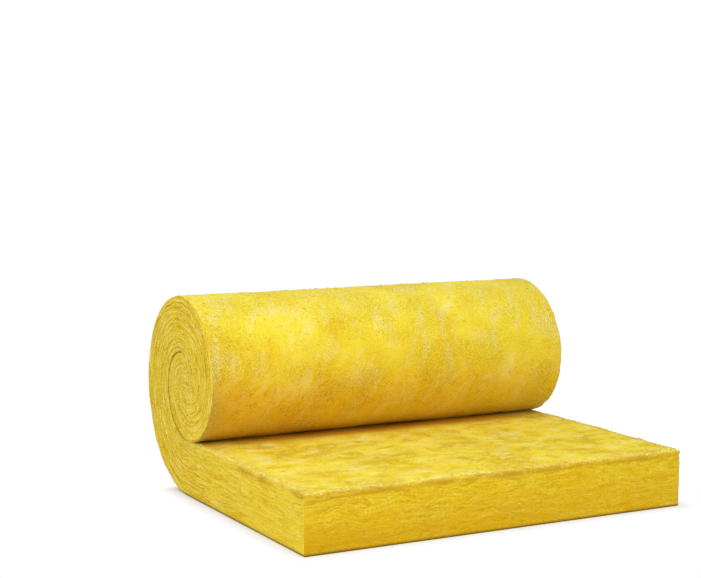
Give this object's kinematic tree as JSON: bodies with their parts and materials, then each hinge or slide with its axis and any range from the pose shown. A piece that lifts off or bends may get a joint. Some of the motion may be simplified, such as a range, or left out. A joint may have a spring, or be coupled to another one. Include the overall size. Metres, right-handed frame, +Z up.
{
  "type": "insulation roll",
  "caption": "Mat of yellow glass wool insulation, part unrolled: a flat stretch lies on the floor, lifts at the back and winds forward into a roll that rests on it.",
  "frame": {"origin": "on the floor, in the middle of the space that the mat takes up", "axes": "+X along the roll from its left end to its right end, -Y towards the front cut of the flat stretch, +Z up"},
  "size_m": [1.2, 1.0902, 0.5888],
  "materials": {
    "glass_wool": "soft matt fibre, lemon yellow with paler tufts"
  },
  "bodies": {
    "root": {"glass_wool_mat": "glass_wool"}
  },
  "joints": []
}
